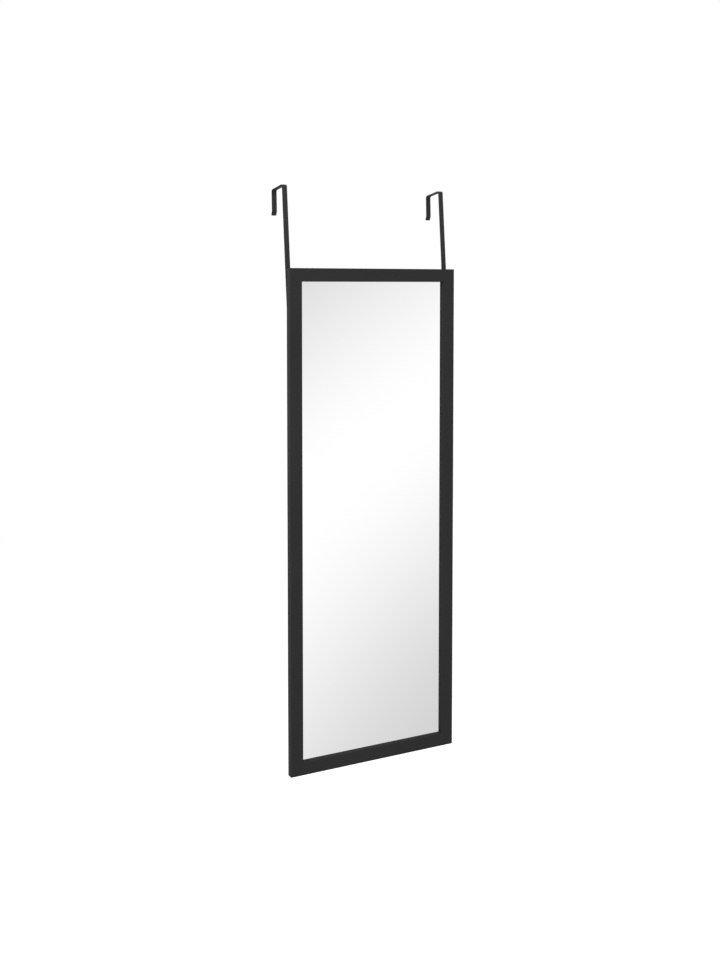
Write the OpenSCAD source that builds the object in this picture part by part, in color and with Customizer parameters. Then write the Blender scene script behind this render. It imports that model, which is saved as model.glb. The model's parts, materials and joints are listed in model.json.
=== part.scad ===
// Mirror that hangs over the top of a door: a slim black aluminium frame of four
// mitred profiles round a sheet of mirror glass, with two flat steel hooks on its back.
// +Z is up, the mirror faces -Y, and the door is behind it. The origin is the hang
// point: midway between the hooks, under their top bars, at the middle of the door.

/* [Frame] */
// Width of the frame, outside to outside
frame_w = 300; // [200:5:500]
// Height of the frame, outside to outside
frame_h = 800; // [500:10:1400]
// Width of the frame's face, from its outer side to the glass
face_w = 21; // [19:0.5:40]
// Wall of the aluminium profile
wall = 1.2; // [1:0.1:1.8]
// Outside width of the hollow chamber along the profile's outer side
chamber_w = 13.2; // [12:0.2:15]
// How far the inner lip reaches back from the face to the glass
lip_depth = 3.5; // [2.5:0.1:6]
// How far the rear flange reaches in over the clips
flange_w = 3; // [2:0.2:4]
// Rounding of the profile's outer edges
edge_r = 0.6; // [0.3:0.1:1]

/* [Mirror and backing] */
// Thickness of the mirror glass
glass_t = 3; // [2:0.5:6]
// Thickness of the backing board
board_t = 3; // [2:0.5:6]
// Gap round the glass and the board, to the chamber's wall
pane_gap = 0.5; // [0.2:0.1:1]

/* [Spring clips] */
// Room behind the board for the clips, up to the rear flange
clip_room = 1.3; // [1:0.1:3]
// Thickness of a clip's spring steel
clip_t = 0.5; // [0.3:0.1:0.8]
// Width of a clip along the frame
clip_w = 18; // [10:1:30]
// Reach of a clip in over the board
clip_reach = 17; // [12:1:24]
// Length of a clip's flat on the board, and of its upturned end
clip_heel = 3; // [2:0.5:3.5]
// From a stile's ends to its upper and lower clips
clip_inset = 150; // [100:5:200]

/* [Corner keys] */
// Length of a corner key's legs, from the frame's outer corner
key_leg = 34; // [28:1:60]
// Clearance of a corner key in its chamber
key_gap = 0.2; // [0.1:0.05:0.4]
// How far each corner of a leg's end is cut back, so that the leg starts easily
key_lead = 1; // [0.5:0.1:2]
// From the frame's outer side to the screw in each leg
key_screw_x = 23; // [21:0.5:24]

/* [Hooks] */
// Width of the steel strip
strap_w = 8.5; // [6:0.5:10]
// Thickness of the steel strip
strap_t = 1.2; // [0.8:0.1:2]
// Inside radius of the strip's bends
bend_r = 3; // [1:0.5:4]
// Inside radius of the slight bend where the strip leaves the frame
lean_bend_r = 20; // [10:1:40]
// How far below the frame's top edge the strip leaves the frame's back
hook_start = 103; // [80:1:160]
// How far the strip rises above the frame's top edge
hook_rise = 131; // [60:0.5:200]
// Lean of the strip away from the frame, in degrees
hook_lean = 5; // [2:0.1:7]
// Fall of the top bar towards its rear end, in degrees
bar_fall = 9; // [0:0.5:12]
// Lean of the rear drop in towards the door, in degrees
drop_in = 2; // [0:0.1:4]
// Gap between strip and drop for the door, along the bar
door_gap = 38; // [30:0.5:60]
// Length of the rear drop with its end lip
drop_len = 41; // [30:1:60]
// Length of the end lip
lip_len = 7; // [5:0.5:10]
// Turn of the end lip away from the door, in degrees
lip_turn = 25; // [10:1:35]
// Length of the foot that is screwed to the frame's back
foot_len = 50; // [35:1:80]
// From each end of the foot to its screw
foot_screw_x = 10; // [7:0.5:14]

/* [Screws] */
// Radius of a screw's shank
shank_r = 1.45; // [1:0.05:1.6]
// Length of the shank of a corner screw
corner_screw_len = 8; // [5:0.5:8.5]
// Length of the shank of a hook screw
hook_screw_len = 8; // [5:0.5:9]
// Radius of a screw's pan head
head_r = 2.8; // [2.4:0.1:3]
// Height of a screw's pan head
head_h = 1.7; // [1.2:0.1:2.2]
// Height of the head's straight rim
rim_h = 1; // [0.6:0.1:1.1]
// Radius of the head's flat crown
crown_r = 2; // [1.7:0.1:2.3]
// Width of the crossed slots in the head
slot_w = 0.6; // [0.4:0.1:0.8]
// Length of the crossed slots
slot_span = 3; // [2.4:0.1:3.4]
// Depth of the crossed slots
slot_depth = 1; // [0.6:0.1:1.1]
// Radius of the shank's blunt tip
tip_r = 0.2; // [0.1:0.05:0.4]
// Clearance round a shank in its hole
shank_gap = 0.05; // [0.02:0.01:0.15]

/* [Bumpers] */
// Radius of a bumper on the frame's back
bumper_r = 5; // [4:0.5:6]
// Thickness of a bumper, more than a hook's foot with its screw heads
bumper_t = 3.5; // [3:0.25:6]
// Chamfer round a bumper's rear face
bumper_chamfer = 0.8; // [0.4:0.1:1.5]
// From the frame's outer sides to a bumper's centre
bumper_x = 7; // [6:0.5:8]

/* [Hidden] */
$fn = 64;
// How far cutting shapes run past what they cut
over = 1;
// Largest angle between two points of a bend in a hook's strip
bend_step = 6;

// Depth of the frame: lip, glass, board, clips and rear flange behind each other
frame_d = lip_depth + glass_t + board_t + clip_room + wall;
// From the frame's outer side to the edge of the glass
pane_x = chamber_w + pane_gap;
// From the frame's outer side to the middle of the chamber, where all screws are
chamber_mid = chamber_w / 2;
// Places along a stile, down from the top, of a hook's two screws
hook_screw_drops = [hook_start + foot_screw_x, hook_start + foot_len - foot_screw_x];

// Bends of a hook where the strip turns over the door and down its far side
front_bend = 90 + bar_fall - hook_lean;
rear_bend = 90 + drop_in - bar_fall;
// Length of the top bar between the outer corners of these bends
bar_len = door_gap + strap_t * (tan(front_bend / 2) + tan(rear_bend / 2));
// Hang point from the frame's back and top edge: [back, up]
bar_front_corner = [(hook_start + hook_rise) * tan(hook_lean), hook_rise];
bar_along = [cos(bar_fall), -sin(bar_fall)];
bar_down = [-sin(bar_fall), -cos(bar_fall)];
hang_point = bar_front_corner + bar_down * strap_t
    + bar_along * (strap_t * tan(front_bend / 2) + door_gap / 2);

// Corners of the frame: name, side, height, and the turn that brings a corner's two
// legs, drawn along +X and +Z, onto the frame
BOTTOM_LEFT = ["bottom_left", -1, -frame_h, 0];
BOTTOM_RIGHT = ["bottom_right", 1, -frame_h, -90];
TOP_RIGHT = ["top_right", 1, 0, 180];
TOP_LEFT = ["top_left", -1, 0, 90];
CORNERS = [TOP_LEFT, TOP_RIGHT, BOTTOM_LEFT, BOTTOM_RIGHT];

// Spring clips: name, the corner that their place is measured from, and that place
CLIPS = [
    ["left_upper", TOP_LEFT, clip_inset],
    ["left_middle", TOP_LEFT, frame_h / 2],
    ["left_lower", TOP_LEFT, frame_h - clip_inset],
    ["right_upper", BOTTOM_RIGHT, frame_h - clip_inset],
    ["right_middle", BOTTOM_RIGHT, frame_h / 2],
    ["right_lower", BOTTOM_RIGHT, clip_inset],
    ["top", TOP_RIGHT, frame_w / 2],
    ["bottom", BOTTOM_LEFT, frame_w / 2],
];

// Hooks: name and side
HOOKS = [["left", -1], ["right", 1]];

frame_black = "#2e2e2f";
hook_black = "#333435";
silver = "#dfe3e6";
steel = "#b9bcc0";
board_brown = "#8a6a48";
key_grey = "#a7abb0";
rubber_black = "#1c1c1d";

// Moves what is drawn from the frame's back and top edge to the hang point
module hung() {
    translate([0, -hang_point[0], -hang_point[1]]) children();
}

// Puts what is drawn at a corner, with legs along +X and +Z, on one of the corners
module at_corner(corner) {
    translate([corner[1] * frame_w / 2, 0, corner[2]]) rotate([0, corner[3], 0]) children();
}

// Stands a section, drawn as [depth, distance from the outer side], along +X
module along_x(length) {
    rotate([90, 0, 90]) linear_extrude(length) children();
}

// Takes a square corner off and leaves the round one, at the origin towards +X and +Y
module edge_cutter() {
    difference() {
        translate([-over, -over]) square(edge_r + over);
        translate([edge_r, edge_r]) circle(edge_r);
    }
}

// Section of the profile: chamber, face, lip and rear flange
module profile() {
    difference() {
        union() {
            translate([-frame_d, 0]) square([frame_d, chamber_w]);
            translate([-frame_d, 0]) square([wall, face_w]);
            translate([-frame_d, face_w - wall]) square([lip_depth, wall]);
            translate([-wall, 0]) square([wall, chamber_w + flange_w]);
        }
        translate([wall - frame_d, wall]) square([frame_d - 2 * wall, chamber_w - 2 * wall]);
        translate([-frame_d, 0]) edge_cutter();
        translate([-frame_d, face_w]) rotate(-90) edge_cutter();
        rotate(90) edge_cutter();
    }
}

// One side of the frame, mitred at both ends, with its holes in the rear wall
module member(length, screw_places = []) {
    difference() {
        intersection() {
            along_x(length) profile();
            translate([0, over, 0]) rotate([90, 0, 0]) linear_extrude(frame_d + 2 * over)
                polygon([
                    [-over, -over],
                    [length + over, -over],
                    [length - face_w - over, face_w + over],
                    [face_w + over, face_w + over],
                ]);
        }
        for (x = concat([key_screw_x, length - key_screw_x], screw_places))
            translate([x, over, chamber_mid]) rotate([90, 0, 0])
                cylinder(h = wall + 2 * over, r = shank_r + shank_gap);
    }
}

module top_rail() {
    color(frame_black) hung() at_corner(TOP_RIGHT) member(frame_w);
}

module bottom_rail() {
    color(frame_black) hung() at_corner(BOTTOM_LEFT) member(frame_w);
}

module left_stile() {
    color(frame_black) hung() at_corner(TOP_LEFT) member(frame_h, hook_screw_drops);
}

module right_stile() {
    color(frame_black) hung() at_corner(BOTTOM_RIGHT)
        member(frame_h, [for (drop = hook_screw_drops) frame_h - drop]);
}

// A flat sheet in the frame's rebate, its front at a depth behind the frame's face
module pane(front, thickness) {
    hung() translate([pane_x - frame_w / 2, front - frame_d, pane_x - frame_h])
        cube([frame_w - 2 * pane_x, thickness, frame_h - 2 * pane_x]);
}

module mirror_glass() {
    color(silver) pane(lip_depth, glass_t);
}

module backing_board() {
    color(board_brown) pane(lip_depth + glass_t, board_t);
}

// Cast key that joins two mitred profiles from inside their chambers
module corner_key(corner) {
    low = wall + key_gap;
    high = chamber_w - wall - key_gap;
    leg = [
        [key_leg - key_lead, low],
        [key_leg, low + key_lead],
        [key_leg, high - key_lead],
        [key_leg - key_lead, high],
    ];
    other_leg = [for (k = [len(leg) - 1:-1:0]) [leg[k][1], leg[k][0]]];
    color(key_grey) hung() at_corner(corner) difference() {
        translate([0, -low, 0]) rotate([90, 0, 0]) linear_extrude(frame_d - 2 * low)
            polygon(concat([[low, low]], leg, [[high, high]], other_leg));
        for (place = [[key_screw_x, chamber_mid], [chamber_mid, key_screw_x]])
            translate([place[0], 0, place[1]]) rotate([90, 0, 0])
                cylinder(h = frame_d, r = shank_r + shank_gap);
    }
}

// Pan-head screw driven in along -Y, its head's underside at Y = 0
module screw(length) {
    cone_h = shank_r;
    rotate([-90, 0, 0]) {
        difference() {
            union() {
                cylinder(h = rim_h, r = head_r);
                translate([0, 0, rim_h]) cylinder(h = head_h - rim_h, r1 = head_r, r2 = crown_r);
            }
            for (turn = [0, 90])
                rotate(turn) translate([-slot_span / 2, -slot_w / 2, head_h - slot_depth])
                    cube([slot_span, slot_w, slot_depth + over]);
        }
        translate([0, 0, cone_h - length]) cylinder(h = length - cone_h, r = shank_r);
        translate([0, 0, -length]) cylinder(h = cone_h, r1 = tip_r, r2 = shank_r);
    }
}

// Two screws at each corner, one through each profile into the key
module corner_screws() {
    color(steel) hung()
        for (corner = CORNERS, place = [[key_screw_x, chamber_mid], [chamber_mid, key_screw_x]])
            at_corner(corner) translate([place[0], 0, place[1]]) screw(corner_screw_len);
}

// Bent leaf that presses on the board from under the rear flange
module spring_clip(clip) {
    under_flange = -wall - clip_t;
    on_board = -wall - clip_room;
    path = [
        [under_flange, chamber_w + pane_gap],
        [under_flange, chamber_w + flange_w + pane_gap],
        [on_board, chamber_w + clip_reach - 2 * clip_heel],
        [on_board, chamber_w + clip_reach - clip_heel],
        [under_flange, chamber_w + clip_reach],
    ];
    back = [for (k = [len(path) - 1:-1:0]) path[k] + [clip_t, 0]];
    color(steel) hung() at_corner(clip[1]) translate([clip[2] - clip_w / 2, 0, 0])
        along_x(clip_w) polygon(concat(path, back));
}

// Directions in a hook's side view, [back, up], for a heading in degrees that is 0
// upwards and 90 to the rear: along the strip, and across it to its other face
function along(heading) = [sin(heading), cos(heading)];
function across(heading) = [cos(heading), -sin(heading)];

// Points of the strip's front face with the heading at each. A step is a straight run,
// then a turn in degrees, to the rear if positive, then the turn's inside radius
function stations(steps, at = [0, 0], heading = 0, k = 0) =
    k == len(steps) ? [] :
    let (
        turn = steps[k][1],
        axis = turn > 0 ? steps[k][2] + strap_t : -steps[k][2],
        centre = at + along(heading) * steps[k][0] + across(heading) * axis,
        count = ceil(abs(turn) / bend_step),
        headings = [for (j = [0:count]) heading + turn * j / max(count, 1)],
        arc = [for (h = headings) [centre - across(h) * axis, h]]
    )
    concat(arc, stations(steps, arc[count][0], heading + turn, k + 1));

// What a bend takes off the straight runs at its outer corner
function setback(turn, radius) = (radius + strap_t) * tan(turn / 2);

// Flat strip: foot on the frame's back, lean, bar over the door, drop and end lip
module hook_strip() {
    lean_cut = setback(hook_lean, lean_bend_r);
    front_cut = setback(front_bend, bend_r);
    rear_cut = setback(rear_bend, bend_r);
    lip_cut = bend_r * tan(lip_turn / 2);
    rise = (hook_start + hook_rise) / cos(hook_lean);
    line = concat([[[0, 0], 0]], stations([
        [foot_len - lean_cut, hook_lean, lean_bend_r],
        [rise - lean_cut - front_cut, front_bend, bend_r],
        [bar_len - front_cut - rear_cut, rear_bend, bend_r],
        [drop_len - lip_len - rear_cut - lip_cut, -lip_turn, bend_r],
        [lip_len - lip_cut, 0, 0],
    ]));
    front_face = [for (station = line) station[0]];
    back_face = [for (k = [len(line) - 1:-1:0]) line[k][0] + across(line[k][1]) * strap_t];
    along_x(strap_w) polygon(concat(front_face, back_face));
}

// Middle of a hook across the frame
function hook_x(hook) = hook[1] * (frame_w / 2 - chamber_mid);

module hook(hook) {
    color(hook_black) hung() difference() {
        translate([hook_x(hook) - strap_w / 2, 0, -hook_start - foot_len]) hook_strip();
        for (drop = hook_screw_drops)
            translate([hook_x(hook), strap_t + over, -drop]) rotate([90, 0, 0])
                cylinder(h = strap_t + 2 * over, r = shank_r + shank_gap);
    }
}

// Two screws through the foot of each hook into the stile's rear wall
module hook_screws() {
    color(hook_black) hung()
        for (hook = HOOKS, drop = hook_screw_drops)
            translate([hook_x(hook), strap_t, -drop]) screw(hook_screw_len);
}

// Round bumper that keeps the frame off the door
module bumper(corner) {
    color(rubber_black) hung() at_corner(corner) translate([bumper_x, 0, bumper_x])
        rotate([-90, 0, 0]) {
            cylinder(h = bumper_t - bumper_chamfer, r = bumper_r);
            translate([0, 0, bumper_t - bumper_chamfer])
                cylinder(h = bumper_chamfer, r1 = bumper_r, r2 = bumper_r - bumper_chamfer);
        }
}

top_rail();
bottom_rail();
left_stile();
right_stile();
mirror_glass();
backing_board();
for (corner = CORNERS)
    corner_key(corner);
corner_screws();
for (clip = CLIPS)
    spring_clip(clip);
for (hook = HOOKS)
    hook(hook);
hook_screws();
for (corner = CORNERS)
    bumper(corner);
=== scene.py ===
"""Over the door mirror: the pieces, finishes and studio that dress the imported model.

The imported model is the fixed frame. Each piece made here lies where its node lies, in
metres: +Z is up, the mirror faces -Y, and the door is behind it, towards +Y.
"""

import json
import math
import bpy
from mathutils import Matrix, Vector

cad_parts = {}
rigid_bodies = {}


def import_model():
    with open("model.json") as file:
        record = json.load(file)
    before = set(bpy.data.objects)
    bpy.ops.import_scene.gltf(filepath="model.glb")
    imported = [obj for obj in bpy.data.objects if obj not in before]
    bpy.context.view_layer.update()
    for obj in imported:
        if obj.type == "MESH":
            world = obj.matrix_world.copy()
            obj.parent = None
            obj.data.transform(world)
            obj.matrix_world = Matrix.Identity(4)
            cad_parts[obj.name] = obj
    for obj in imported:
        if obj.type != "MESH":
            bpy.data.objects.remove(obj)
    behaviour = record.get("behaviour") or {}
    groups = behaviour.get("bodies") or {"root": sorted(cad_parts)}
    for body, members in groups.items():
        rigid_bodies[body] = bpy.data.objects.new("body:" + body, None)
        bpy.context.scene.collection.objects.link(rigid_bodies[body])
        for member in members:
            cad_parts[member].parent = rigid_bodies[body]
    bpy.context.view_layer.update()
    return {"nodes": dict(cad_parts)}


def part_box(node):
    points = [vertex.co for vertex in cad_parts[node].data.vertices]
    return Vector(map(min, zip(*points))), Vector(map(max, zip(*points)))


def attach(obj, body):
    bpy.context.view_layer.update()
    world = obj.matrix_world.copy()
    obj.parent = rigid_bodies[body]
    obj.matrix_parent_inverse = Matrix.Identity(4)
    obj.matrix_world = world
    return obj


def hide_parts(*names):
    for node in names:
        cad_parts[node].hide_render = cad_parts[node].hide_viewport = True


bl_info = {
    "name": "Over the Door Mirror",
    "version": (1, 0, 0),
    "blender": (4, 5, 0),
    "location": "3D View > Sidebar > Door Mirror",
    "description": "Makes the framed mirror, its hooks and back fittings, and a studio round them",
    "category": "Add Mesh",
}

import bmesh
import bpy
from bpy.props import FloatProperty, FloatVectorProperty, PointerProperty
from bpy.types import Operator, Panel, PropertyGroup
from mathutils import Matrix, Vector

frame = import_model()

# The frame's four sides, from the boxes of its bars and panes
FRAME_LEFT, FRAME_FRONT, RAIL_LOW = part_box("top_rail")[0]
FRAME_RIGHT, FRAME_BACK, FRAME_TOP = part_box("top_rail")[1]
FRAME_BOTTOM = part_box("bottom_rail")[0].z
FRAME_WIDTH = FRAME_RIGHT - FRAME_LEFT
FRAME_HEIGHT = FRAME_TOP - FRAME_BOTTOM
FRAME_DEPTH = FRAME_BACK - FRAME_FRONT
FACE_WIDTH = FRAME_TOP - RAIL_LOW
LIP_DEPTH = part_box("mirror_glass")[0].y - FRAME_FRONT

# From the frame's outer side to the middle of the hooks and of the bars' chambers
HOOK_INSET = (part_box("hook_left")[0].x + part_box("hook_left")[1].x) / 2 - FRAME_LEFT

# Corners of the frame: where they are, and the turn about Y, in degrees, that brings a
# bar drawn along +X, with its outer side at Z = 0 and its back at Y = 0, onto the frame
CORNERS = {
    "bottom_left": ((FRAME_LEFT, FRAME_BACK, FRAME_BOTTOM), 0),
    "top_left": ((FRAME_LEFT, FRAME_BACK, FRAME_TOP), 90),
    "top_right": ((FRAME_RIGHT, FRAME_BACK, FRAME_TOP), 180),
    "bottom_right": ((FRAME_RIGHT, FRAME_BACK, FRAME_BOTTOM), -90),
}

# Bars of the frame: the corner that each one starts from, going round, and its length
BARS = {
    "top_rail": ("top_right", FRAME_WIDTH),
    "bottom_rail": ("bottom_left", FRAME_WIDTH),
    "left_stile": ("top_left", FRAME_HEIGHT),
    "right_stile": ("bottom_right", FRAME_HEIGHT),
}

# Spring clips, with the bar that each one is under
CLIPS = {
    "spring_clip_top": "top_rail",
    "spring_clip_bottom": "bottom_rail",
    "spring_clip_left_upper": "left_stile",
    "spring_clip_left_middle": "left_stile",
    "spring_clip_left_lower": "left_stile",
    "spring_clip_right_upper": "right_stile",
    "spring_clip_right_middle": "right_stile",
    "spring_clip_right_lower": "right_stile",
}

# Two faces that meet at more than the first angle are shaded as a sharp edge. At more
# than the second, a piece that is softened gets its edge rounded
CREASE = math.radians(35)
SOFTENED = math.radians(60)

# Vertices nearer than this are one
MERGE = 1e-7

# Left free between the frame's lip and the silver
LIP_CLEARANCE = 0.00005

# Largest turn from one point to the next in a strip's bends, and in its slight lean
BEND_STEP = math.radians(8)
LEAN_STEP = math.radians(2)

# Sides of the round pieces
SCREW_SIDES = 32
BUMPER_SIDES = 48

# Inputs of a Mix node, which go by number because they share their names: its factor,
# the two numbers and the two colours
MIX_FACTOR = 0
MIX_NUMBERS = (2, 3)
MIX_COLOURS = (6, 7)

# Outputs of a Mix node: the mixed number and the mixed colour
MIXED_NUMBER = 0
MIXED_COLOUR = 2

# Width of the camera's sensor, in millimetres
SENSOR_WIDTH = 36

# The picture's size in pixels, and the camera that the frame's edges in it lead to:
# focal length and optical centre in pixels, and its place from the frame's lower left
# front corner
PICTURE_SIZE = (720, 960)
FOCAL_PIXELS = 1195.9
OPTICAL_CENTRE_Y = 352
CAMERA_FROM_CORNER = Vector((-0.7839, -1.6686, 0.7714))
CAMERA_HEADING = math.radians(28.517)
CAMERA_FALL = math.radians(3.131)


# ---------------------------------------------------------------- sizes and colours


def length(name, default, description):
    """A size in metres."""
    return FloatProperty(
        name=name,
        description=description,
        default=default,
        min=0,
        precision=5,
        subtype="DISTANCE",
        unit="LENGTH",
    )


def angle(name, degrees, description):
    """An angle, given here in degrees and kept in radians."""
    return FloatProperty(
        name=name,
        description=description,
        default=math.radians(degrees),
        subtype="ANGLE",
        unit="ROTATION",
    )


def share(name, default, description):
    """A plain number from 0 to 2."""
    return FloatProperty(name=name, description=description, default=default, min=0, max=2)


def watts(name, default, description):
    """The power of a lamp."""
    return FloatProperty(
        name=name, description=description, default=default, min=0, subtype="POWER", unit="POWER"
    )


def colour(name, default, description):
    """A colour, as linear red, green and blue."""
    return FloatVectorProperty(
        name=name, description=description, default=default, size=3, min=0, max=1, subtype="COLOR"
    )


class BarSizes(PropertyGroup):
    """Section of the frame's bars."""

    wall: length("Wall", 0.0012, "Thickness of the bar's walls")
    chamber: length("Chamber", 0.0132, "Outside width of the hollow chamber")
    flange: length("Flange", 0.003, "Reach of the rear flange beyond the chamber")
    edge_radius: length("Edge radius", 0.0006, "Rounding of the bar's outer edges")
    groove: length("Mitre groove", 0.0001, "Chamfer along the cut ends, which shows as a hairline")


class PaneSizes(PropertyGroup):
    """Mirror pane and backing board."""

    silver_depth: length("Silver depth", 0.0019, "How deep below the glass the silver appears")
    arris: length("Arris", 0.0004, "Ground edge of the pane")
    board_edge: length("Board edge", 0.0004, "Rounding of the board's edges")


class HookSizes(PropertyGroup):
    """Path and edges of a hook's flat strip."""

    thickness: length("Thickness", 0.0012, "Thickness of the steel strip")
    foot: length("Foot", 0.05, "Length that lies on the frame's back")
    rise: length("Rise", 0.131, "Height of the top bar's front corner above the frame")
    gap: length("Door gap", 0.038, "Room for the door along the top bar")
    drop: length("Drop", 0.041, "Length of the rear drop with its lip")
    lip: length("Lip", 0.007, "Length of the end lip")
    lean: angle("Lean", 5, "Lean of the strip away from the frame")
    fall: angle("Fall", 9, "Fall of the top bar towards its rear end")
    drop_in: angle("Drop in", 2, "Lean of the rear drop in towards the door")
    lip_turn: angle("Lip turn", 25, "Turn of the end lip away from the door")
    lean_radius: length("Lean radius", 0.02, "Inside radius of the slight bend above the foot")
    bend_radius: length("Bend radius", 0.003, "Inside radius of the other bends")
    corner_radius: length("Corner radius", 0.0012, "Rounding of the strip's end corners")
    softness: length("Softness", 0.0002, "Rounding of the strip's long edges")


class ClipSizes(PropertyGroup):
    """Bent leaf of a spring clip."""

    thickness: length("Thickness", 0.0005, "Thickness of the spring steel")
    heel: length("Heel", 0.003, "Length of the flat on the board, and of the upturned end")
    fold: length("Fold", 0.001, "How far each fold is eased")
    corner_radius: length("Corner radius", 0.0018, "Rounding of the leaf's corners")
    softness: length("Softness", 0.00008, "Rounding of the leaf's edges")


class ScrewSizes(PropertyGroup):
    """Pan-head screws and where they are driven."""

    head_radius: length("Head radius", 0.0028, "Radius of the head")
    head_height: length("Head height", 0.0017, "Height of the head")
    head_round: length("Head rounding", 0.0011, "Rounding of the head's rim")
    shank_radius: length("Shank radius", 0.00145, "Radius of the shank")
    shank: length("Shank", 0.008, "Length of the shank below the head")
    slot_width: length("Slot width", 0.0006, "Width of the crossed slots")
    slot_span: length("Slot span", 0.003, "Length of the crossed slots")
    slot_depth: length("Slot depth", 0.001, "Depth of the crossed slots")
    from_corner: length("From corner", 0.023, "From the frame's outer side to a corner screw")
    from_foot_end: length("From foot end", 0.01, "From each end of a hook's foot to its screw")


class BumperSizes(PropertyGroup):
    """Round bumper on the frame's back."""

    skirt: length("Skirt", 0.0004, "Thickness of the flat skirt under the dome")
    waist: length("Waist", 0.0003, "How far the dome is set in from the skirt")
    rounding: length("Rounding", 0.0014, "Rounding of the dome's rim")


class FinishColours(PropertyGroup):
    """Colours of the finishes."""

    coat: colour("Frame coat", (0.0229, 0.0229, 0.0233), "Black powder coat of the frame")
    hook_coat: colour("Hook coat", (0.0245, 0.0245, 0.025), "Black powder coat of the hooks")
    silver: colour("Silver", (0.965, 0.97, 0.968), "Silver seen through the glass")
    back_paint: colour("Back paint", (0.19, 0.2, 0.21), "Paint on the back of the silver")
    board: colour("Board", (0.32, 0.2, 0.11), "Hardboard of the back")
    casting: colour("Casting", (0.55, 0.56, 0.58), "Cast corner keys")
    zinc: colour("Zinc", (0.62, 0.63, 0.65), "Plated corner screws")
    black_zinc: colour("Black zinc", (0.02, 0.02, 0.021), "Plated hook screws")
    spring: colour("Spring steel", (0.5, 0.51, 0.53), "Rolled steel of the clips")
    rubber: colour("Rubber", (0.018, 0.018, 0.018), "Rubber of the bumpers")


class StudioSettings(PropertyGroup):
    """Floor, lamps and surroundings."""

    hang_height: length("Hang height", 2.0, "Height of the hang point above the floor")
    floor_side: length("Floor side", 14, "Side of the square floor")
    floor: colour("Floor", (0.9, 0.9, 0.9), "Colour of the floor")
    floor_lift: share("Floor lift", 0.4, "Light added to the floor where it is looked at")
    ambient: share("Ambient", 0.72, "Light of the surroundings on matt surfaces")
    overhead_softbox: watts("Overhead softbox", 26, "Power of the wide lamp above the front")
    left_softbox: watts("Left softbox", 9, "Power of the near lamp at the upper left")
    back_softbox: watts("Back softbox", 30, "Power of the wide lamp behind")
    band_mean: share("Band mean", 0.849, "Middle brightness of the mirrored surroundings")
    band_swing: share("Band swing", 0.187, "How far the brightness goes above and below it")
    band_width: angle("Band width", 25.93, "From one bright band to the next")
    band_place: angle("Band place", 1.6, "Where the first bright band is")
    band_tilt: angle("Band tilt", 53.5, "How far the bands' axis is from upright")
    band_heading: angle("Band heading", 30.6, "Which way the bands' axis leans")


class DoorMirrorSettings(PropertyGroup):
    """All sizes and colours of the over the door mirror."""

    bars: PointerProperty(type=BarSizes)
    panes: PointerProperty(type=PaneSizes)
    hooks: PointerProperty(type=HookSizes)
    clips: PointerProperty(type=ClipSizes)
    screws: PointerProperty(type=ScrewSizes)
    bumpers: PointerProperty(type=BumperSizes)
    colours: PointerProperty(type=FinishColours)
    studio: PointerProperty(type=StudioSettings)


# ---------------------------------------------------------------- finishes


def discard(collection, name):
    """Takes away what an earlier run of an operator made under this name."""
    old = collection.get(name)
    if old:
        collection.remove(old)


def add_node(tree, kind, links=None, **settings):
    """A new node with its settings, and its inputs linked to sockets or set to values."""
    node = tree.nodes.new(kind)
    for setting, value in settings.items():
        setattr(node, setting, value)
    for key, value in (links or {}).items():
        if isinstance(value, bpy.types.NodeSocket):
            tree.links.new(value, node.inputs[key])
        else:
            node.inputs[key].default_value = value
    return node


class Finish:
    """A material built up node by node round its Principled shader."""

    def __init__(self, name, **sockets):
        discard(bpy.data.materials, name)
        self.material = bpy.data.materials.new(name)
        self.material.use_nodes = True
        self.tree = self.material.node_tree
        self.shader = self.tree.nodes["Principled BSDF"]
        for socket, value in sockets.items():
            self.shader.inputs[socket.replace("_", " ")].default_value = value
        self.place = self.add("ShaderNodeTexCoord").outputs["Object"]

    def add(self, kind, links=None, **settings):
        """A new node of this material."""
        return add_node(self.tree, kind, links, **settings)

    def noise(self, scale, detail=2, roughness=0.5, stretch=(1, 1, 1), swirl=0):
        """Noise with scale features to the metre, drawn out along an axis whose stretch is below 1."""
        place = self.add("ShaderNodeMapping", {"Vector": self.place, "Scale": stretch})
        links = {"Vector": place.outputs[0], "Scale": scale, "Detail": detail}
        links.update({"Roughness": roughness, "Distortion": swirl})
        return self.add("ShaderNodeTexNoise", links).outputs["Fac"]

    def spread(self, source, low=0, high=1, start=0.3, end=0.7):
        """The source's range from start to end, where noise mostly lies, spread from low to high."""
        links = {"Value": source, "From Min": start, "From Max": end, "To Min": low, "To Max": high}
        return self.add("ShaderNodeMapRange", links).outputs["Result"]

    def blend(self, source, first, second):
        """A colour from first to second as the source goes from 0 to 1."""
        links = {MIX_FACTOR: source, MIX_COLOURS[0]: first, MIX_COLOURS[1]: second}
        return self.add("ShaderNodeMix", links, data_type="RGBA").outputs[MIXED_COLOUR]

    def paint(self, source):
        """Sets the surface's colour."""
        self.tree.links.new(source, self.shader.inputs["Base Color"])

    def roughen(self, source, low, high):
        """Sets the surface's roughness, which follows the source from low to high."""
        self.tree.links.new(self.spread(source, low, high), self.shader.inputs["Roughness"])

    def emboss(self, *layers):
        """Raises the surface by layers of (source, height in metres), one over the other."""
        normal = None
        for source, height in layers:
            links = {"Height": source, "Distance": height, "Strength": 1.0}
            if normal:
                links["Normal"] = normal
            normal = self.add("ShaderNodeBump", links).outputs["Normal"]
        self.tree.links.new(normal, self.shader.inputs["Normal"])


def shade(base, factor):
    """A colour made lighter or darker, with its alpha."""
    lit = [min(1, channel * factor) for channel in base]
    return (*lit, 1)


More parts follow.
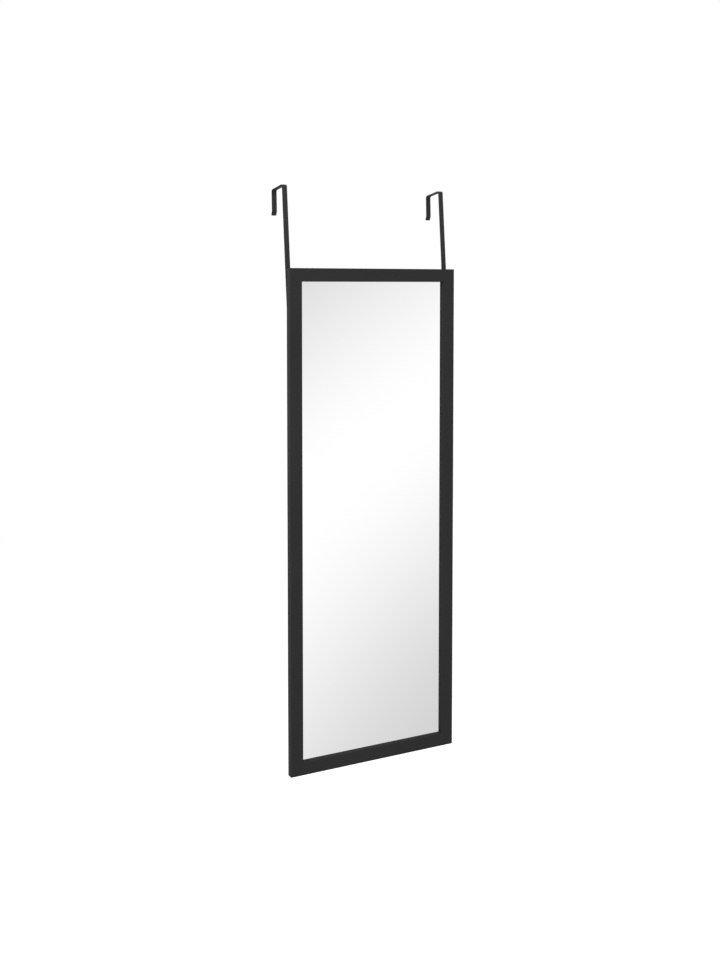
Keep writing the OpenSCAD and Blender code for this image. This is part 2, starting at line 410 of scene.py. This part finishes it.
def powder_coat(name, base, smooth, rough):
    """Matt powder coat: faint clouds, a fine orange peel with painted shade in its hollows, and grains
    lightened as painted glints where they would catch the light.
    """
    coat = Finish(name, Specular_IOR_Level=0.15)
    clouds = coat.noise(scale=9, detail=3)
    grains = coat.noise(scale=2200, detail=2, roughness=0.6)
    peel = coat.noise(scale=800, detail=1)
    mottled = coat.blend(coat.spread(clouds), shade(base, 0.92), shade(base, 1.04))
    # Painted highlight: fine grains lightened in the base colour as glints, laid over the clouded tone
    painted_glints = coat.spread(grains, start=0.5, end=0.8)
    tone_with_painted_glints = coat.blend(painted_glints, mottled, shade(base, 1.9))
    # Painted shade: the orange peel's hollows darkened in the base colour
    painted_peel_shade = coat.spread(peel, low=1, high=0, start=0.2, end=0.5)
    coat.paint(coat.blend(painted_peel_shade, tone_with_painted_glints, shade(base, 0.75)))
    coat.roughen(peel, smooth, rough)
    coat.emboss((peel, 0.00008), (grains, 0.00004))
    return coat.material


def silvered(base):
    """Silver behind clear float glass, with the faintest unevenness of tint and polish."""
    silver = Finish("silvered_glass", Metallic=1.0)
    cast = silver.noise(scale=4, detail=1)
    silver.paint(silver.blend(cast, shade(base, 0.99), shade(base, 1.01)))
    silver.roughen(cast, low=0.002, high=0.012)
    return silver.material


def back_paint(base):
    """Rolled-on grey paint that seals the silver."""
    paint = Finish("mirror_back_paint")
    streaks = paint.noise(scale=300, detail=3, stretch=(1, 1, 0.08))
    paint.paint(paint.blend(streaks, shade(base, 0.85), shade(base, 1.15)))
    paint.roughen(streaks, low=0.45, high=0.65)
    paint.emboss((streaks, 0.00002))
    return paint.material


def hardboard(base):
    """Pressed wood fibres, felted every way, with dark bark specks and a dull smooth face."""
    board = Finish("hardboard", Specular_IOR_Level=0.25)
    clouds = board.noise(scale=22, detail=4, roughness=0.6)
    felt = board.noise(scale=260, detail=5, roughness=0.72, swirl=2.2)
    hairs = board.noise(scale=1100, detail=3, roughness=0.6, stretch=(1, 1, 0.3), swirl=0.8)
    specks = board.noise(scale=650, detail=2, roughness=0.6, stretch=(0.7, 1, 1), swirl=0.6)
    ground = board.blend(board.spread(clouds), shade(base, 0.88), shade(base, 1.08))
    matted = board.spread(felt, start=0.35, end=0.65)
    felted = board.blend(matted, shade(base, 0.72), ground)
    pale_hairs = board.spread(hairs, high=0.5, start=0.52, end=0.7)
    haired = board.blend(pale_hairs, felted, shade(base, 1.5))
    bark = board.spread(specks, high=0.75, start=0.66, end=0.74)
    board.paint(board.blend(bark, haired, shade(base, 0.28)))
    board.roughen(felt, low=0.62, high=0.82)
    board.emboss((felt, 0.00005), (hairs, 0.00003))
    return board.material


def die_casting(base):
    """Raw casting with a slightly pitted skin."""
    casting = Finish("raw_casting", Metallic=1.0)
    flow = casting.noise(scale=60, detail=4, roughness=0.6)
    pits = casting.noise(scale=1500, detail=2)
    casting.paint(casting.blend(flow, shade(base, 0.8), shade(base, 1.1)))
    casting.roughen(flow, low=0.42, high=0.62)
    casting.emboss((pits, 0.00004))
    return casting.material


def plated(name, base, metallic, smooth, rough):
    """Plated steel screws, clouded and faintly grainy."""
    plate = Finish(name, Metallic=metallic)
    clouds = plate.noise(scale=500, detail=3)
    plate.paint(plate.blend(clouds, shade(base, 0.78), shade(base, 1.15)))
    plate.roughen(clouds, smooth, rough)
    grain = plate.noise(scale=3000, detail=1)
    plate.emboss((grain, 0.000008))
    return plate.material


def rolled_steel(base):
    """Spring steel with fine rolling lines."""
    steel = Finish("spring_steel", Metallic=1.0)
    lines = steel.noise(scale=4000, detail=2, stretch=(0.02, 1, 1))
    clouds = steel.noise(scale=120, detail=2)
    steel.paint(steel.blend(clouds, shade(base, 0.85), shade(base, 1.1)))
    steel.roughen(lines, low=0.25, high=0.42)
    steel.emboss((lines, 0.000006))
    return steel.material


def soft_rubber(base):
    """Moulded black rubber, dusty and finely pebbled."""
    rubber = Finish("black_rubber", Specular_IOR_Level=0.3, Sheen_Weight=0.15)
    dust = rubber.noise(scale=200, detail=4)
    rubber.paint(rubber.blend(rubber.spread(dust), shade(base, 0.8), shade(base, 1.5)))
    rubber.roughen(dust, low=0.62, high=0.8)
    pebbles = rubber.noise(scale=2400, detail=1)
    rubber.emboss((pebbles, 0.00002))
    return rubber.material


# ---------------------------------------------------------------- making pieces


def new_vertices(made):
    """The vertices among what an operator made."""
    return [part for part in made if isinstance(part, bmesh.types.BMVert)]


def new_edges(made):
    """The edges among what an operator made."""
    return [part for part in made if isinstance(part, bmesh.types.BMEdge)]


def bevel(bm, geom, width, segments, affect="EDGES"):
    """Rounds these edges, or with VERTICES the corners of a flat shape."""
    bmesh.ops.bevel(
        bm,
        geom=geom,
        offset=width,
        offset_type="OFFSET",
        segments=segments,
        profile=0.5,
        affect=affect,
        material=-1,
    )


def soften(bm, width, segments=3):
    """Rounds every edge whose faces meet at more than the softened angle."""
    edges = [edge for edge in bm.edges if edge.is_manifold and edge.calc_face_angle() > SOFTENED]
    bevel(bm, edges, width, segments)


def turn_on_lathe(bm, line, sides):
    """Turns a line of (radius, height) points once round +Y, into a closed form."""
    vertices = [bm.verts.new((radius, height, 0)) for radius, height in line]
    edges = [bm.edges.new(pair) for pair in zip(vertices, vertices[1:])]
    bmesh.ops.spin(
        bm,
        geom=[*vertices, *edges],
        cent=(0, 0, 0),
        axis=(0, 1, 0),
        dvec=(0, 0, 0),
        angle=math.tau,
        steps=sides,
        use_merge=True,
        use_duplicate=False,
    )
    bmesh.ops.remove_doubles(bm, verts=bm.verts, dist=MERGE)
    bmesh.ops.recalc_face_normals(bm, faces=bm.faces)


def at_corner(corner):
    """The turn and move that bring what is drawn at the origin onto a corner of the frame."""
    place, degrees = CORNERS[corner]
    return Matrix.Translation(place) @ Matrix.Rotation(math.radians(degrees), 4, "Y")


def add_object(name, bm, materials):
    """Makes an object of a finished bmesh, in place of an earlier one of that name."""
    discard(bpy.data.objects, name)
    mesh = bpy.data.meshes.new(name)
    bm.to_mesh(mesh)
    bm.free()
    for material in materials:
        mesh.materials.append(material)
    made = bpy.data.objects.new(name, mesh)
    bpy.context.scene.collection.objects.link(made)
    return made


def add_piece(name, bm, node, slot, *materials):
    """Makes a piece of a finished bmesh, which stands for its node and takes the finishes given. The
    slot is not used.
    """
    bmesh.ops.remove_doubles(bm, verts=bm.verts, dist=MERGE)
    bmesh.ops.recalc_face_normals(bm, faces=bm.faces)
    for face in bm.faces:
        face.smooth = True
    piece = add_object(name, bm, materials)
    piece.data.set_sharp_from_angle(angle=CREASE)
    weighted = piece.modifiers.new("Weighted normals", "WEIGHTED_NORMAL")
    weighted.keep_sharp = True
    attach(piece, "root")
    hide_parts(node)
    return piece


class Strip:
    """A flat strip that grows from one edge across it, by straight runs and bends."""

    def __init__(self, bm, middle, width, direction):
        self.bm = bm
        ends = [bm.verts.new(middle + Vector((side * width / 2, 0, 0))) for side in (-1, 1)]
        self.edge = bm.edges.new(ends)
        self.corners = list(ends)
        self.direction = direction

    def run(self, distance):
        """Straight on."""
        made = bmesh.ops.extrude_edge_only(self.bm, edges=[self.edge])["geom"]
        bmesh.ops.translate(self.bm, verts=new_vertices(made), vec=self.direction * distance)
        self.edge = new_edges(made)[0]

    def bend(self, turn, radius, step=BEND_STEP):
        """Round by an angle, to the rear of an upright strip if it is positive."""
        spin = Matrix.Rotation(-turn, 3, "X")
        across = Matrix.Rotation(math.radians(-90), 3, "X") @ self.direction
        middle = (self.edge.verts[0].co + self.edge.verts[1].co) / 2
        made = bmesh.ops.spin(
            self.bm,
            geom=[*self.edge.verts, self.edge],
            cent=middle + across * math.copysign(radius, turn),
            axis=(1, 0, 0),
            dvec=(0, 0, 0),
            angle=-turn,
            steps=math.ceil(abs(turn) / step),
            use_merge=False,
            use_duplicate=False,
        )["geom_last"]
        self.edge = new_edges(made)[0]
        self.direction = spin @ self.direction

    def thicken(self, thickness, corner_radius, softness):
        """Rounds the end corners, gives the strip its thickness to the rear and softens its edges."""
        bevel(self.bm, [*self.corners, *self.edge.verts], corner_radius, segments=6, affect="VERTICES")
        bmesh.ops.solidify(self.bm, geom=self.bm.faces[:], thickness=-thickness)
        bmesh.ops.recalc_face_normals(self.bm, faces=self.bm.faces)
        soften(self.bm, softness)


# ---------------------------------------------------------------- the frame


def bar_section(bm, sizes, lip_reach):
    """Outline of a bar and its chamber as closed rings of edges: back at Y = 0, outer side at Z = 0."""
    front = -FRAME_DEPTH
    wall = sizes.wall
    outline = [
        (front, 0),
        (0, 0),
        (0, sizes.chamber + sizes.flange),
        (-wall, sizes.chamber + sizes.flange),
        (-wall, sizes.chamber),
        (front + wall, sizes.chamber),
        (front + wall, FACE_WIDTH - wall),
        (front + lip_reach, FACE_WIDTH - wall),
        (front + lip_reach, FACE_WIDTH),
        (front, FACE_WIDTH),
    ]
    chamber = [
        (front + wall, wall),
        (-wall, wall),
        (-wall, sizes.chamber - wall),
        (front + wall, sizes.chamber - wall),
    ]
    for ring in (outline, chamber):
        vertices = [bm.verts.new((0, y, z)) for y, z in ring]
        face = bm.faces.new(vertices)
        if ring is outline:
            rounded = [vertices[0], vertices[1], vertices[-1]]
            bevel(bm, rounded, sizes.edge_radius, segments=5, affect="VERTICES")
        else:
            bmesh.ops.delete(bm, geom=[face], context="FACES_ONLY")
    bmesh.ops.delete(bm, geom=bm.faces[:], context="FACES_ONLY")


def cut_mitre(bm, place, outwards, groove):
    """Cuts a bar off at a slanting plane, closes its end and chamfers the end's edges."""
    everything = [*bm.verts, *bm.edges, *bm.faces]
    bmesh.ops.bisect_plane(
        bm,
        geom=everything,
        plane_co=place - outwards * groove,
        plane_no=outwards,
        clear_outer=True,
    )

    def on_cut(vertex):
        return abs((vertex.co - place).dot(outwards) + groove) < MERGE

    rim = [edge for edge in bm.edges if edge.is_boundary and all(map(on_cut, edge.verts))]
    cap = bmesh.ops.triangle_fill(bm, edges=rim, use_beauty=True, normal=outwards)["geom"]
    faces = [part for part in cap if isinstance(part, bmesh.types.BMFace)]
    bmesh.ops.recalc_face_normals(bm, faces=bm.faces)
    bmesh.ops.inset_region(
        bm,
        faces=faces,
        thickness=groove,
        depth=groove,
        use_boundary=True,
        use_even_offset=True,
    )


def mitred_bar(length_along, sizes, lip_reach):
    """A hollow bar along +X with both ends cut at 45 degrees."""
    bm = bmesh.new()
    bar_section(bm, sizes, lip_reach)
    made = bmesh.ops.extrude_edge_only(bm, edges=bm.edges[:])["geom"]
    bmesh.ops.translate(bm, verts=new_vertices(made), vec=(length_along, 0, 0))
    for end, side in ((0, -1), (length_along, 1)):
        outwards = Vector((side, 0, 1)).normalized()
        cut_mitre(bm, Vector((end, 0, 0)), outwards, sizes.groove)
    return bm


class DOORMIRROR_OT_frame(Operator):
    """Make the four mitred bars of the frame"""

    bl_idname = "doormirror.frame"
    bl_label = "Frame"
    bl_options = {"REGISTER", "UNDO"}

    def execute(self, context):
        settings = context.scene.door_mirror
        coat = powder_coat("frame_powder_coat", settings.colours.coat, smooth=0.72, rough=0.85)
        # The lip goes as deep as the silver appears, so the mirror shows no dark slit behind it
        lip_reach = LIP_DEPTH + settings.panes.silver_depth - LIP_CLEARANCE
        for node, (corner, length_along) in BARS.items():
            bm = mitred_bar(length_along, settings.bars, lip_reach)
            bm.transform(at_corner(corner))
            add_piece(f"{node}_bar", bm, node, "frame_black", coat)
        return {"FINISHED"}


# ---------------------------------------------------------------- mirror and board


def sheet(low, high, edge, segments):
    """A flat sheet between two corners, with its edges taken off."""
    bm = bmesh.new()
    size = high - low
    placed = Matrix.Translation((low + high) / 2) @ Matrix.Diagonal((*size, 1))
    bmesh.ops.create_cube(bm, size=1, matrix=placed)
    soften(bm, edge, segments=segments)
    return bm


class DOORMIRROR_OT_mirror(Operator):
    """Make the silvered pane, whose face is where the silver appears through the glass"""

    bl_idname = "doormirror.mirror"
    bl_label = "Mirror Pane"
    bl_options = {"REGISTER", "UNDO"}

    def execute(self, context):
        settings = context.scene.door_mirror
        low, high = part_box("mirror_glass")
        face = low + Vector((0, settings.panes.silver_depth, 0))
        bm = sheet(face, high, settings.panes.arris, segments=1)
        for side in bm.faces:
            side.material_index = 1 if side.calc_center_median().y > high.y - MERGE else 0
        silver = silvered(settings.colours.silver)
        paint = back_paint(settings.colours.back_paint)
        add_piece("mirror_pane", bm, "mirror_glass", "mirror", silver, paint)
        return {"FINISHED"}


class DOORMIRROR_OT_board(Operator):
    """Make the hardboard behind the pane"""

    bl_idname = "doormirror.board"
    bl_label = "Backing Board"
    bl_options = {"REGISTER", "UNDO"}

    def execute(self, context):
        settings = context.scene.door_mirror
        bm = sheet(*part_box("backing_board"), settings.panes.board_edge, segments=2)
        fibre = hardboard(settings.colours.board)
        add_piece("backing_hardboard", bm, "backing_board", "hardboard", fibre)
        return {"FINISHED"}


# ---------------------------------------------------------------- corner keys and clips


class DOORMIRROR_OT_corner_keys(Operator):
    """Give the corner keys inside the bars their cast finish"""

    bl_idname = "doormirror.corner_keys"
    bl_label = "Corner Keys"
    bl_options = {"REGISTER", "UNDO"}

    def execute(self, context):
        casting = die_casting(context.scene.door_mirror.colours.casting)
        for corner in CORNERS:
            key = frame["nodes"][f"corner_key_{corner}"]
            for holder in key.material_slots:
                holder.material = casting
        return {"FINISHED"}


def spring_leaf(node, bar, sizes, flange_end):
    """A leaf that lies under the rear flange, steps down to the board and turns up at its end."""
    to_frame = at_corner(BARS[bar][0])
    corners = [to_frame.inverted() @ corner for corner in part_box(node)]
    low = Vector(map(min, *corners))
    high = Vector(map(max, *corners))
    bm = bmesh.new()
    start = Vector(((low.x + high.x) / 2, high.y - sizes.thickness, low.z))
    fall = high.y - low.y - sizes.thickness
    slope = high.z - flange_end - 2 * sizes.heel
    leaf = Strip(bm, start, high.x - low.x, Vector((0, 0, 1)))
    for rise, reach in ((0, flange_end - low.z), (-fall, slope), (0, sizes.heel), (fall, sizes.heel)):
        step = Vector((0, rise, reach))
        leaf.direction = step.normalized()
        leaf.run(step.length)
    folds = [edge for edge in bm.edges if len(edge.link_faces) == 2]
    bevel(bm, folds, sizes.fold, segments=4)
    leaf.corners = [v for v in bm.verts if v.co.z < low.z + MERGE]
    leaf.edge = max(bm.edges, key=lambda edge: min(v.co.z for v in edge.verts))
    leaf.thicken(sizes.thickness, sizes.corner_radius, sizes.softness)
    bm.transform(to_frame)
    return bm


class DOORMIRROR_OT_spring_clips(Operator):
    """Make the spring clips that hold the pane and the board in the frame"""

    bl_idname = "doormirror.spring_clips"
    bl_label = "Spring Clips"
    bl_options = {"REGISTER", "UNDO"}

    def execute(self, context):
        settings = context.scene.door_mirror
        steel = rolled_steel(settings.colours.spring)
        # A leaf starts as far from the chamber as the board does, and lies flat until it is
        # that far past the flange
        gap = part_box("backing_board")[0].x - FRAME_LEFT - settings.bars.chamber
        flange_end = settings.bars.chamber + settings.bars.flange + gap
        for node, bar in CLIPS.items():
            bm = spring_leaf(node, bar, settings.clips, flange_end)
            add_piece(f"{node}_leaf", bm, node, "spring_steel", steel)
        return {"FINISHED"}


# ---------------------------------------------------------------- hooks


def setback(turn, radius):
    """What a bend takes off the straight runs on both sides of its outer corner."""
    return radius * math.tan(abs(turn) / 2)


def hook_strip(node, sizes):
    """The strip of a hook: foot, leaning rise, bar over the door, drop and end lip."""
    low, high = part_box(node)
    front_bend = math.radians(90) + sizes.fall - sizes.lean
    rear_bend = math.radians(90) + sizes.drop_in - sizes.fall
    outer = sizes.thickness + sizes.bend_radius
    outer_lean = sizes.thickness + sizes.lean_radius
    lean_cut = setback(sizes.lean, outer_lean)
    front_cut = setback(front_bend, outer)
    rear_cut = setback(rear_bend, outer)
    lip_cut = setback(sizes.lip_turn, sizes.bend_radius)
    rise = (FRAME_TOP + sizes.rise - low.z - sizes.foot) / math.cos(sizes.lean)
    corners = math.tan(front_bend / 2) + math.tan(rear_bend / 2)
    bar = sizes.gap + sizes.thickness * corners
    bm = bmesh.new()
    strip = Strip(bm, Vector(((low.x + high.x) / 2, low.y, low.z)), high.x - low.x, Vector((0, 0, 1)))
    strip.run(sizes.foot - lean_cut)
    strip.bend(sizes.lean, outer_lean, step=LEAN_STEP)
    strip.run(rise - lean_cut - front_cut)
    strip.bend(front_bend, outer)
    strip.run(bar - front_cut - rear_cut)
    strip.bend(rear_bend, outer)
    strip.run(sizes.drop - sizes.lip - rear_cut - lip_cut)
    strip.bend(-sizes.lip_turn, sizes.bend_radius)
    strip.run(sizes.lip - lip_cut)
    strip.thicken(sizes.thickness, sizes.corner_radius, sizes.softness)
    return bm


class DOORMIRROR_OT_hooks(Operator):
    """Make the two flat steel hooks that go over the door"""

    bl_idname = "doormirror.hooks"
    bl_label = "Hooks"
    bl_options = {"REGISTER", "UNDO"}

    def execute(self, context):
        settings = context.scene.door_mirror
        coat = powder_coat("hook_powder_coat", settings.colours.hook_coat, smooth=0.58, rough=0.7)
        for node in ("hook_left", "hook_right"):
            bm = hook_strip(node, settings.hooks)
            add_piece(f"{node}_strip", bm, node, "hook_black", coat)
        return {"FINISHED"}


# ---------------------------------------------------------------- screws


def cut_cross(bm, sizes):
    """Sinks crossed slots into the flat crown of a screw's head, which is at its highest Y."""
    half_width, half_span = sizes.slot_width / 2, sizes.slot_span / 2
    below_crown = sizes.head_height - MERGE
    for axis in ((1, 0, 0), (0, 0, 1)):
        for offset in (-half_span, -half_width, half_width, half_span):
            crown = [face for face in bm.faces if face.calc_center_median().y > below_crown]
            around = {part for face in crown for part in (*face.verts, *face.edges, face)}
            bmesh.ops.bisect_plane(
                bm,
                geom=list(around),
                plane_co=Vector(axis) * offset,
                plane_no=axis,
            )
    floor = []
    for face in bm.faces:
        middle = face.calc_center_median()
        near, far = sorted((abs(middle.x), abs(middle.z)))
        if middle.y > below_crown and near < half_width and far < half_span:
            floor.append(face)
    made = bmesh.ops.extrude_face_region(bm, geom=floor)["geom"]
    bmesh.ops.delete(bm, geom=floor, context="FACES")
    bmesh.ops.translate(bm, verts=new_vertices(made), vec=(0, -sizes.slot_depth, 0))


def pan_screw(bm, place, sizes):
    """A pan-head screw driven in along -Y, the underside of its head at the place."""
    screw = bmesh.new()
    crown = sizes.head_radius - sizes.head_round
    line = [
        (0, sizes.head_height),
        (crown, sizes.head_height),
        (sizes.head_radius, sizes.head_height - sizes.head_round),
        (sizes.head_radius, 0),
        (sizes.shank_radius, 0),
        (sizes.shank_radius, sizes.shank_radius - sizes.shank),
        (0, -sizes.shank),
    ]
    turn_on_lathe(screw, line, SCREW_SIDES)
    cut_cross(screw, sizes)
    screw.transform(Matrix.Translation(place))
    loose = bpy.data.meshes.new("screw")
    screw.to_mesh(loose)
    screw.free()
    bm.from_mesh(loose)
    bpy.data.meshes.remove(loose)


class DOORMIRROR_OT_screws(Operator):
    """Make the screws at the corners and in the hooks' feet"""

    bl_idname = "doormirror.screws"
    bl_label = "Screws"
    bl_options = {"REGISTER", "UNDO"}

    def execute(self, context):
        settings = context.scene.door_mirror
        sizes = settings.screws
        at_corners = bmesh.new()
        for corner in CORNERS:
            for along, inwards in ((sizes.from_corner, HOOK_INSET), (HOOK_INSET, sizes.from_corner)):
                pan_screw(at_corners, at_corner(corner) @ Vector((along, 0, inwards)), sizes)
        zinc = plated("bright_zinc", settings.colours.zinc, metallic=1.0, smooth=0.28, rough=0.42)
        add_piece("corner_pan_screws", at_corners, "corner_screws", "zinc_steel", zinc)
        in_feet = bmesh.new()
        for node in ("hook_left", "hook_right"):
            low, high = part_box(node)
            for height in (sizes.from_foot_end, settings.hooks.foot - sizes.from_foot_end):
                rear = FRAME_BACK + settings.hooks.thickness
                pan_screw(in_feet, Vector(((low.x + high.x) / 2, rear, low.z + height)), sizes)
        black = plated("black_zinc", settings.colours.black_zinc, metallic=0.6, smooth=0.35, rough=0.5)
        add_piece("hook_pan_screws", in_feet, "hook_screws", "screw_black", black)
        return {"FINISHED"}


# ---------------------------------------------------------------- bumpers


def bumper_dome(node, sizes):
    """A round bumper: flat skirt on the frame, then a low dome with a rounded rim."""
    low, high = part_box(node)
    middle = Vector(((low.x + high.x) / 2, low.y, (low.z + high.z) / 2))
    radius = (high.x - low.x) / 2
    thickness = high.y - low.y
    dome = radius - sizes.waist
    line = [
        (0, thickness),
        (dome - sizes.rounding, thickness),
        (dome, thickness - sizes.rounding),
        (dome, sizes.skirt),
        (radius, sizes.skirt),
        (radius, 0),
        (0, 0),
    ]
    bm = bmesh.new()
    turn_on_lathe(bm, line, BUMPER_SIDES)
    bm.transform(Matrix.Translation(middle))
    return bm


class DOORMIRROR_OT_bumpers(Operator):
    """Make the four rubber bumpers on the frame's back"""

    bl_idname = "doormirror.bumpers"
    bl_label = "Bumpers"
    bl_options = {"REGISTER", "UNDO"}

    def execute(self, context):
        settings = context.scene.door_mirror
        rubber = soft_rubber(settings.colours.rubber)
        for corner in CORNERS:
            node = f"bumper_{corner}"
            add_piece(f"{node}_dome", bumper_dome(node, settings.bumpers), node, "rubber_black", rubber)
        return {"FINISHED"}


# ---------------------------------------------------------------- studio

# Softboxes: place, and width and height in metres
SOFTBOXES = {
    "overhead_softbox": ((0.3, -1.4, 1.9), (2.2, 2.2)),
    "left_softbox": ((-0.95, -0.32, 0.35), (0.5, 0.5)),
    "back_softbox": ((1.6, 2.0, 0.5), (2.2, 2.2)),
}


def calculate(tree, operation, *values):
    """The result of a Math node on numbers or sockets."""
    return add_node(tree, "ShaderNodeMath", dict(enumerate(values)), operation=operation).outputs[0]


def choose(tree, factor, first, second):
    """A number that is the first where the factor is 0, and the second where it is 1."""
    links = {MIX_FACTOR: factor, MIX_NUMBERS[0]: first, MIX_NUMBERS[1]: second}
    return add_node(tree, "ShaderNodeMix", links).outputs[MIXED_NUMBER]


def pale_floor(base, lift):
    """A matt pale floor that is white where it is looked at and still takes a shadow."""
    floor = Finish("pale_floor", Roughness=0.9, Specular_IOR_Level=0.0)
    path = floor.add("ShaderNodeLightPath").outputs
    mirrored = calculate(floor.tree, "MAXIMUM", path["Is Glossy Ray"], path["Is Transmission Ray"])
    looked_at = calculate(floor.tree, "MAXIMUM", path["Is Camera Ray"], mirrored)
    glow = calculate(floor.tree, "MULTIPLY", looked_at, lift)
    shader = floor.shader.inputs
    shader["Base Color"].default_value = (*base, 1)
    shader["Emission Color"].default_value = (1, 1, 1, 1)
    floor.tree.links.new(glow, shader["Emission Strength"])
    return floor.material


def add_floor(studio):
    """A plain square floor, as far below the hang point as a door is high."""
    bm = bmesh.new()
    bmesh.ops.create_grid(
        bm,
        x_segments=1,
        y_segments=1,
        size=studio.floor_side / 2,
        matrix=Matrix.Translation((0, 0, -studio.hang_height)),
    )
    floor = add_object("studio_floor", bm, [pale_floor(studio.floor, studio.floor_lift)])
    floor.visible_glossy = False


def add_lamps(studio):
    """Soft lamps round the mirror, which light it and show neither in it nor beside it."""
    middle = Vector((0, FRAME_FRONT, (FRAME_TOP + FRAME_BOTTOM) / 2))
    for name, (place, size) in SOFTBOXES.items():
        discard(bpy.data.objects, name)
        light = bpy.data.lights.new(name, "AREA")
        light.shape = "RECTANGLE"
        light.size, light.size_y = size
        light.energy = getattr(studio, name)
        lamp = bpy.data.objects.new(name, light)
        lamp.location = place
        lamp.visible_glossy = False
        lamp.visible_camera = False
        lamp.rotation_euler = (middle - lamp.location).to_track_quat("-Z", "Y").to_euler()
        bpy.context.scene.collection.objects.link(lamp)


def slanting_bands(tree, studio):
    """Brightness that swings slowly with a direction's height above a slanting plane."""
    tilt, heading = studio.band_tilt, studio.band_heading
    level = math.sin(tilt)
    axis = (-level * math.cos(heading), level * math.sin(heading), math.cos(tilt))
    direction = add_node(tree, "ShaderNodeTexCoord").outputs["Generated"]
    links = {0: direction, 1: axis}
    sine = add_node(tree, "ShaderNodeVectorMath", links, operation="DOT_PRODUCT").outputs["Value"]
    height = calculate(tree, "ARCSINE", sine)
    waves = math.tau / studio.band_width
    phase = calculate(tree, "MULTIPLY_ADD", height, waves, -studio.band_place * waves)
    wave = calculate(tree, "COSINE", phase)
    return calculate(tree, "MULTIPLY_ADD", wave, studio.band_swing, studio.band_mean)


def add_surroundings(scene, studio):
    """White past the object, plain light for matt surfaces and soft slanting bands for mirrors."""
    discard(bpy.data.worlds, "studio_surroundings")
    world = bpy.data.worlds.new("studio_surroundings")
    world.use_nodes = True
    scene.world = world
    tree = world.node_tree
    path = add_node(tree, "ShaderNodeLightPath").outputs
    mirrored = calculate(tree, "MAXIMUM", path["Is Glossy Ray"], path["Is Transmission Ray"])
    cast = choose(tree, mirrored, studio.ambient, slanting_bands(tree, studio))
    background = tree.nodes["Background"].inputs
    background["Color"].default_value = (1, 1, 1, 1)
    tree.links.new(choose(tree, path["Is Camera Ray"], cast, 1.0), background["Strength"])


def add_camera(scene):
    """The camera that the frame's edges in the picture lead to."""
    discard(bpy.data.objects, "picture_camera")
    data = bpy.data.cameras.new("picture_camera")
    long_side = max(PICTURE_SIZE)
    data.sensor_width = SENSOR_WIDTH
    data.lens = data.sensor_width * FOCAL_PIXELS / long_side
    data.shift_y = (OPTICAL_CENTRE_Y - PICTURE_SIZE[1] / 2) / long_side
    camera = bpy.data.objects.new("picture_camera", data)
    camera.location = Vector((FRAME_LEFT, FRAME_FRONT, FRAME_BOTTOM)) + CAMERA_FROM_CORNER
    camera.rotation_euler = (math.radians(90) - CAMERA_FALL, 0, -CAMERA_HEADING)
    scene.collection.objects.link(camera)
    scene.camera = camera


class DOORMIRROR_OT_stage(Operator):
    """Make the floor, the lamps, the surroundings and the camera"""

    bl_idname = "doormirror.stage"
    bl_label = "Studio"
    bl_options = {"REGISTER", "UNDO"}

    def execute(self, context):
        studio = context.scene.door_mirror.studio
        add_floor(studio)
        add_lamps(studio)
        add_surroundings(context.scene, studio)
        add_camera(context.scene)
        context.scene.view_settings.view_transform = "Standard"
        return {"FINISHED"}


# ---------------------------------------------------------------- sidebar


def list_settings(box, group):
    """A row for each setting of a group."""
    for name in group.__annotations__:
        box.prop(group, name)


class VIEW3D_PT_door_mirror(Panel):
    """Operators and sizes of the over the door mirror"""

    bl_idname = "VIEW3D_PT_door_mirror"
    bl_label = "Over the Door Mirror"
    bl_space_type = "VIEW_3D"
    bl_region_type = "UI"
    bl_category = "Door Mirror"

    def draw(self, context):
        settings = context.scene.door_mirror
        for operator, group in STEPS:
            box = self.layout.box()
            box.operator(operator.bl_idname)
            if group:
                list_settings(box, getattr(settings, group))
        box = self.layout.box()
        box.label(text="Colours")
        list_settings(box, settings.colours)


# Operators in the order they run, each with its group of sizes
STEPS = (
    (DOORMIRROR_OT_frame, "bars"),
    (DOORMIRROR_OT_mirror, "panes"),
    (DOORMIRROR_OT_board, None),
    (DOORMIRROR_OT_corner_keys, None),
    (DOORMIRROR_OT_spring_clips, "clips"),
    (DOORMIRROR_OT_hooks, "hooks"),
    (DOORMIRROR_OT_screws, "screws"),
    (DOORMIRROR_OT_bumpers, "bumpers"),
    (DOORMIRROR_OT_stage, "studio"),
)

CLASSES = (
    BarSizes,
    PaneSizes,
    HookSizes,
    ClipSizes,
    ScrewSizes,
    BumperSizes,
    FinishColours,
    StudioSettings,
    DoorMirrorSettings,
    *(operator for operator, _ in STEPS),
    VIEW3D_PT_door_mirror,
)


def register():
    """Makes the operators, the panel and the settings known to Blender."""
    for cls in CLASSES:
        bpy.utils.register_class(cls)
    bpy.types.Scene.door_mirror = PointerProperty(type=DoorMirrorSettings)


def unregister():
    """Takes them out again."""
    del bpy.types.Scene.door_mirror
    for cls in reversed(CLASSES):
        bpy.utils.unregister_class(cls)


def main():
    """Makes every piece and the studio."""
    register()
    for operator, _ in STEPS:
        family, name = operator.bl_idname.split(".")
        getattr(getattr(bpy.ops, family), name)()


if __name__ == "__main__":
    main()
